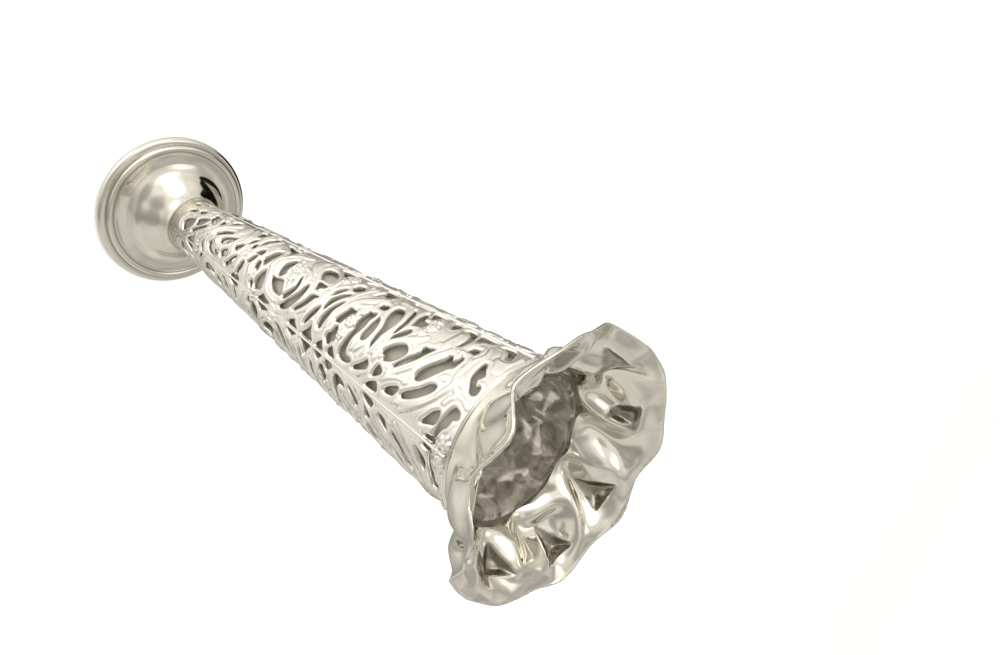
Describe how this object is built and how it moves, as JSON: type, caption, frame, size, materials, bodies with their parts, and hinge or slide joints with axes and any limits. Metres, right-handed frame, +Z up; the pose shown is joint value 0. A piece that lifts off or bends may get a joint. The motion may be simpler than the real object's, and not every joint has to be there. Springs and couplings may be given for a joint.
{
  "type": "pierced trumpet vase",
  "caption": "Slender trumpet vase with a stepped round foot, a cone of sawn scrollwork, a crimped flared mouth and a loose frosted-glass liner.",
  "frame": {"origin": "on the vase's axis, in the plane its foot stands on", "axes": "+Z up along the axis towards the mouth; the front ridge, which ends in a rosette, faces -Y"},
  "size_m": [0.0715, 0.0728, 0.1989],
  "materials": {
    "foot_silver": "polished spun silver with soft dents and fine wear",
    "pierced_silver": "sawn and chased silver sheet with a soft polish",
    "mouth_silver": "mirror-polished silver sheet, crimped by hand",
    "frosted_glass": "acid-frosted glass, see-through but blurred"
  },
  "bodies": {
    "root": {"foot": "foot_silver", "pierced_body": "pierced_silver", "frilled_mouth": "mouth_silver", "glass_liner": "frosted_glass"}
  },
  "joints": []
}
